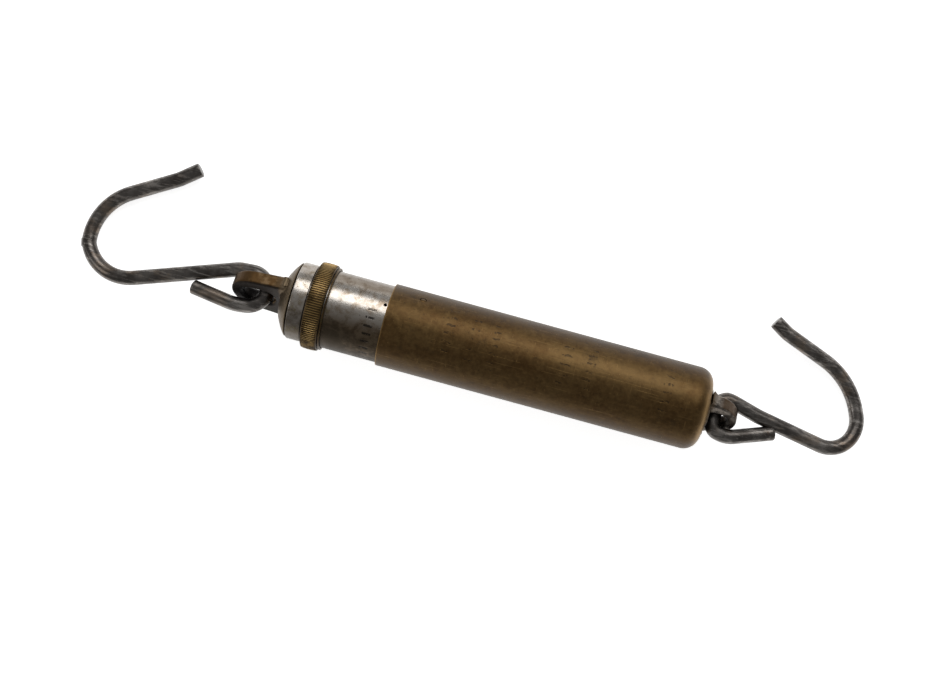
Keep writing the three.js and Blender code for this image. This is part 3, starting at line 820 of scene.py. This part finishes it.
topHook = dict(
    corners=[(32.3, 31.5), (38.0, 26.8), (63.3, 11.6), (55.2, -11.5), (10.0, 4.6), (-2.4, 5.4), (0.9, -5.2),
             (8.4, -6.2), (22.5, -4.4)],
    radii=[9.0, 17.0, 14.4, 8.0, 5.6, 6.4, 15.0],
    wireX=-37.66, side=-1, droop=9.0, lean=9.25, radius=2.25)
loadHook = dict(
    corners=[(13.6, 33.3), (18.0, 30.6), (41.3, 21.9), (50.0, -3.5), (13.8, 2.8), (4.0, 5.4), (0.5, 5.0),
             (-0.5, -4.9), (5.2, -6.0), (19.4, -1.0)],
    radii=[10.0, 21.9, 9.2, 20.0, 8.0, 4.0, 2.9, 7.9],
    wireX=102.7, side=1, droop=9.87, lean=12.6, radius=2.25)


def hookPoints(hook):
    droop, lean = math.radians(hook["droop"]), math.radians(hook["lean"])
    along = Vector((hook["side"] * math.cos(droop), 0, -math.sin(droop)))
    across = Matrix.Rotation(-hook["side"] * lean, 3, along) @ Vector((0, 1, 0))
    origin = Vector((hook["wireX"], 0, 0))
    flat = filletPath(hook["corners"], hook["radii"], turnStep=math.radians(5), longest=1.2)
    return [origin + along * p.x + across * p.y for p in flat]


topHookWire = wire("topHook", hookPoints(topHook), topHook["radius"], hookMaterial)
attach(topHookWire, "hanger")
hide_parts("top_hook")
loadHookWire = wire("loadHook", hookPoints(loadHook), loadHook["radius"], hookMaterial)
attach(loadHookWire, "load")
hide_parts("load_hook")
print("hooks")


# main spring

spring = dict(start=-11.4, pitch=3.0, coils=34, radius=8.2, wire=1.35, perCoil=28, heldTo=-2.0, heldFrom=80.0)


def springTree():
    inputs = {"Coils": ("NodeSocketFloat", 1.0), "Length": ("NodeSocketFloat", 1.0),
              "Coil Radius": ("NodeSocketFloat", 1.0), "Wire Radius": ("NodeSocketFloat", 1.0),
              "Finish": ("NodeSocketMaterial", None)}
    tree, names = geometryTree("spring", inputs)
    given = tree.nodes.new("NodeGroupInput").outputs
    coil = addNode(tree, "GeometryNodeCurveSpiral", None, {
        "Resolution": spring["perCoil"], "Rotations": given["Coils"], "Start Radius": given["Coil Radius"],
        "End Radius": given["Coil Radius"], "Height": given["Length"]})
    profile = addNode(tree, "GeometryNodeCurvePrimitiveCircle", None,
                      {"Resolution": 10, "Radius": given["Wire Radius"]})
    body = addNode(tree, "GeometryNodeCurveToMesh", None,
                   {"Curve": coil.outputs[0], "Profile Curve": profile.outputs[0], "Fill Caps": True})
    real = addNode(tree, "GeometryNodeRealizeInstances", None, {"Geometry": body.outputs[0]})
    finishTree(tree, real.outputs[0], given["Finish"])
    return tree, names


coils, coilNames = springTree()
mainSpring = grown("mainSpring", coils, coilNames, {
    "Coils": float(spring["coils"]), "Length": spring["coils"] * spring["pitch"] * mm,
    "Coil Radius": spring["radius"] * mm, "Wire Radius": spring["wire"] * mm,
    "Finish": springMaterial}, sharp=60)
mainSpring.data.transform(Matrix.Translation(mouth + Vector((spring["start"] * mm, 0, 0)))
                          @ Matrix.Rotation(math.pi / 2, 4, "Y"))
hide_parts("main_spring")
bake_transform(mainSpring)
print("spring")


# graduations and numbers on the inner tube

marks = dict(count=51, step=1.08, first=0.35, radius=11.92, width=0.2, small=2.0, middle=3.0, large=4.4,
             textHeight=3.1)


def markTree():
    lengths = ("Step", "Tube Radius", "Width", "Small", "Middle", "Large")
    inputs = {label: ("NodeSocketFloat", 1.0) for label in lengths}
    inputs["Count"] = ("NodeSocketInt", marks["count"])
    inputs["Finish"] = ("NodeSocketMaterial", None)
    tree, names = geometryTree("graduations", inputs)
    given = tree.nodes.new("NodeGroupInput").outputs
    # a flat strip for each mark; its length depends on whether it counts one, five or ten
    index = addNode(tree, "GeometryNodeInputIndex").outputs[0]
    fives = nodeMaths(tree, "MODULO", index, 5.0)
    tens = nodeMaths(tree, "MODULO", index, 10.0)
    isFive = nodeMaths(tree, "LESS_THAN", fives, 0.5)
    isTen = nodeMaths(tree, "LESS_THAN", tens, 0.5)
    first = addNode(tree, "ShaderNodeMix", dict(data_type="FLOAT"),
                    {0: isFive, 2: given["Small"], 3: given["Middle"]})
    second = addNode(tree, "ShaderNodeMix", dict(data_type="FLOAT"),
                     {0: isTen, 2: first.outputs[0], 3: given["Large"]})
    along = addNode(tree, "ShaderNodeCombineXYZ", None, {0: given["Step"]}).outputs[0]
    posts = addNode(tree, "GeometryNodeMeshLine", None, {"Count": given["Count"], "Offset": along})
    strip = addNode(tree, "GeometryNodeMeshGrid", None,
                    {"Size X": 1.0, "Size Y": 1.0, "Vertices X": 2, "Vertices Y": 13})
    size = addNode(tree, "ShaderNodeCombineXYZ", None,
                   {0: given["Width"], 1: second.outputs[0], 2: 1.0}).outputs[0]
    copies = addNode(tree, "GeometryNodeInstanceOnPoints", None,
                     {"Points": posts.outputs[0], "Instance": strip.outputs[0], "Scale": size})
    real = addNode(tree, "GeometryNodeRealizeInstances", None, {"Geometry": copies.outputs[0]})
    # wrap the flat strips onto the tube
    position = addNode(tree, "GeometryNodeInputPosition").outputs[0]
    parts = addNode(tree, "ShaderNodeSeparateXYZ", None, {0: position}).outputs
    angle = nodeMaths(tree, "DIVIDE", parts[1], given["Tube Radius"])
    sine = nodeMaths(tree, "SINE", angle)
    cosine = nodeMaths(tree, "COSINE", angle)
    y = nodeMaths(tree, "MULTIPLY", sine, given["Tube Radius"])
    z = nodeMaths(tree, "MULTIPLY", cosine, given["Tube Radius"])
    wrapped = addNode(tree, "ShaderNodeCombineXYZ", None, {0: parts[0], 1: y, 2: z}).outputs[0]
    bent = addNode(tree, "GeometryNodeSetPosition", None, {"Geometry": real.outputs[0], "Position": wrapped})
    finishTree(tree, bent.outputs[0], given["Finish"])
    return tree, names


scaleMarks, markNames = markTree()
graduations = grown("graduations", scaleMarks, markNames, {
    "Count": marks["count"], "Step": marks["step"] * mm, "Tube Radius": marks["radius"] * mm,
    "Width": marks["width"] * mm, "Small": marks["small"] * mm, "Middle": marks["middle"] * mm,
    "Large": marks["large"] * mm, "Finish": inkMaterial})
graduations.data.transform(Matrix.Translation(mouth + Vector((marks["first"], 0, 0)) * mm))
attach(graduations, "handle")


def wrapped(mesh, x, yMiddle, radius):
    # lays flat letters on the tube, reading along it
    for v in mesh.vertices:
        a = (v.co.y + yMiddle * mm) / (radius * mm)
        v.co = mouth + Vector((x * mm + v.co.x, radius * mm * math.sin(a), radius * mm * math.cos(a)))


for value in range(10, 60, 10):
    letters = bpy.data.curves.new("number", "FONT")
    letters.body = str(value)
    letters.size = marks["textHeight"] * mm
    letters.align_x = "CENTER"
    letters.align_y = "CENTER"
    maker = bpy.data.objects.new("number", letters)
    bpy.context.scene.collection.objects.link(maker)
    graph = bpy.context.evaluated_depsgraph_get()
    graph.update()
    mesh = bpy.data.meshes.new_from_object(maker.evaluated_get(graph))
    bpy.data.objects.remove(maker)
    mesh.transform(Matrix.Rotation(-math.pi / 2, 4, "Z"))
    # cut into narrow strips first, so that they bend round the tube
    flat = bmesh.new()
    flat.from_mesh(mesh)
    for k in range(-6, 7):
        bmesh.ops.bisect_plane(flat, geom=flat.verts[:] + flat.edges[:] + flat.faces[:],
                               plane_co=(0, 0.35 * k * mm, 0), plane_no=(0, 1, 0))
    flat.to_mesh(mesh)
    flat.free()
    wrapped(mesh, marks["first"] + value * marks["step"], marks["large"] / 2 + 2.2, marks["radius"])
    mesh.materials.clear()
    mesh.materials.append(inkMaterial)
    number = bpy.data.objects.new(f"number{value}", mesh)
    bpy.context.scene.collection.objects.link(number)
    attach(number, "handle")
print("graduations")


# CAD pieces that keep their shape

kept = {
    "cap_pin_1": nickelMaterial, "cap_pin_2": nickelMaterial,
    "upper_spring_plug": turnedMaterial, "drive_key": turnedMaterial, "key_screw": turnedMaterial,
    "top_eye_washer": turnedMaterial, "top_eye_nut": turnedMaterial, "end_washer": turnedMaterial,
    "lower_spring_plug": turnedMaterial, "plug_washer": turnedMaterial, "bottom_eye_nut": turnedMaterial,
}
for node, material in kept.items():
    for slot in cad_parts[node].material_slots:
        slot.material = material


# floor, light and camera

stage = dict(size=3.0, floor=(0.9, 0.9, 0.9), glow=0.78, worldGrey=0.3)
floorMesh = bmesh.new()
bmesh.ops.create_grid(floorMesh, x_segments=1, y_segments=1, size=stage["size"] / 2)
floorFinish = Finish("paleFloor", Roughness=0.9, Base_Color=(*stage["floor"], 1),
                     Emission_Color=(1, 1, 1, 1), Emission_Strength=stage["glow"]).material
floor = piece("floor", floorMesh, floorFinish)
floor.location.z = -0.0002

world = bpy.data.worlds.new("room")
bpy.context.scene.world = world
world.use_nodes = True
world.node_tree.nodes["Background"].inputs[0].default_value = (stage["worldGrey"],) * 3 + (1,)
world.node_tree.nodes["Background"].inputs[1].default_value = 1.0


def softLight(name, place, size, power):
    data = bpy.data.lights.new(name, "AREA")
    data.shape = "RECTANGLE"
    data.size, data.size_y = size
    data.energy = power
    lamp = bpy.data.objects.new(name, data)
    bpy.context.scene.collection.objects.link(lamp)
    lamp.location = place
    lamp.rotation_euler = (-Vector(place)).to_track_quat("-Z", "Y").to_euler()


softLight("keyLight", (0.02, 0.72, 0.70), (1.0, 0.52), 5.5)
softLight("sideLight", (-0.85, -0.25, 0.55), (0.4, 0.4), 1.0)

view = dict(height=441.0, x=44.5, y=0.0, roll=15.25, lens=56.3, shiftX=-0.0664, shiftY=0.0142)
cameraData = bpy.data.cameras.new("camera")
cameraData.sensor_width = 36
cameraData.lens = view["lens"]
cameraData.shift_x = view["shiftX"]
cameraData.shift_y = view["shiftY"]
cameraData.clip_start = 0.01
camera = bpy.data.objects.new("camera", cameraData)
bpy.context.scene.collection.objects.link(camera)
camera.location = mouth + Vector((view["x"], view["y"], view["height"])) * mm
camera.rotation_euler = (0, 0, math.radians(view["roll"]))
bpy.context.scene.camera = camera
bpy.context.scene.view_settings.view_transform = "Standard"
print("stage")
